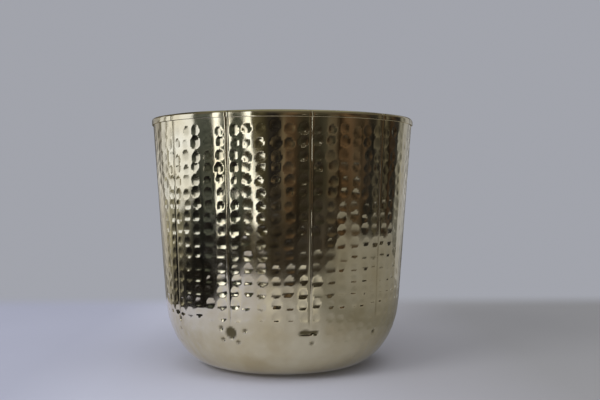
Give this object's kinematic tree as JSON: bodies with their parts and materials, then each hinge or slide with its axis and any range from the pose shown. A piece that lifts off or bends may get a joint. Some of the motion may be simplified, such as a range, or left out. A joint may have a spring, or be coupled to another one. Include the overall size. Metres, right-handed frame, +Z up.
{
  "type": "cachepot",
  "caption": "Round tapered cachepot of hammered polished brass sheet with bowed upright lobes, a rounded heel, a wired rim band and felt pads under the foot.",
  "frame": {"origin": "on the surface that the pot stands on, at the middle of the pads", "axes": "+Z up along the pot's own axis, -Y towards the side that the picture shows"},
  "size_m": [0.2495, 0.2494, 0.2315],
  "materials": {
    "brass_sheet": "hammered, polished and lacquered",
    "brass_strip": "polished and lacquered",
    "steel_wire": "drawn",
    "felt": "pressed felt"
  },
  "bodies": {
    "root": {"body_shell": "brass_sheet", "rim_band": "brass_strip", "rim_wire": "steel_wire", "felt_pads": "felt"}
  },
  "joints": []
}
